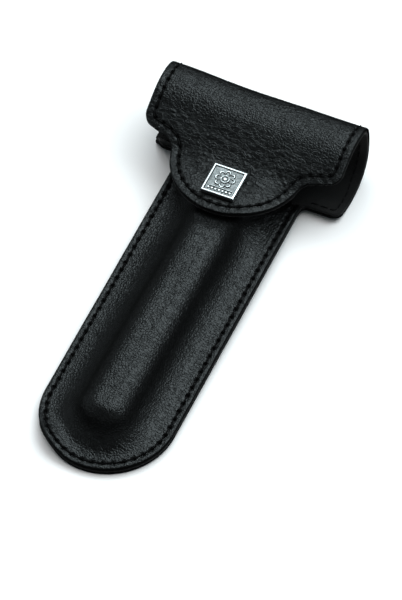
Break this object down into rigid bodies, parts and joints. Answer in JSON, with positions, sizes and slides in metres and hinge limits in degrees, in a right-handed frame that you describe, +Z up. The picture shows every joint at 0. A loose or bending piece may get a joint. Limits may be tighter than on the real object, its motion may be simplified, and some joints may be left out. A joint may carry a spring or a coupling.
{
  "type": "safety razor case",
  "caption": "T-shaped black leather case for a safety razor: moulded handle pouch, open-ended roll for the head, and a stitched flap with a square metal badge over a press stud.",
  "frame": {"origin": "bottom centre of the case's box, lying on its back on a table", "axes": "+X across the roll, +Y along the pouch towards the roll, +Z up, out of the flap and the pouch's moulded front"},
  "size_m": [0.06, 0.127, 0.0226],
  "materials": {
    "leather": "fine pebbled black leather, satin",
    "lining": "thin black lining leather, matt",
    "thread": "waxed black thread",
    "badge": "antiqued silver plate with bright raised edges",
    "snap_steel": "nickel plated"
  },
  "bodies": {
    "case": {"back_outer": "leather", "back_lining": "lining", "pouch_front": "leather", "snap_stud": "snap_steel", "stud_rivet": "snap_steel", "pouch_seam_thread": "thread", "arm_seam_thread_left": "thread", "arm_seam_thread_right": "thread"},
    "flap": {"flap_outer": "leather", "flap_lining": "lining", "badge_plate": "badge", "snap_socket": "snap_steel", "snap_spring": "snap_steel", "flap_seam_thread": "thread"}
  },
  "joints": [
    {"name": "flap_fold", "type": "hinge", "parent": "case", "child": "flap", "pos_m": [0, 0.06179, 0.02006], "axis": [-1, 0, 0], "range_deg": [0, 150]}
  ]
}
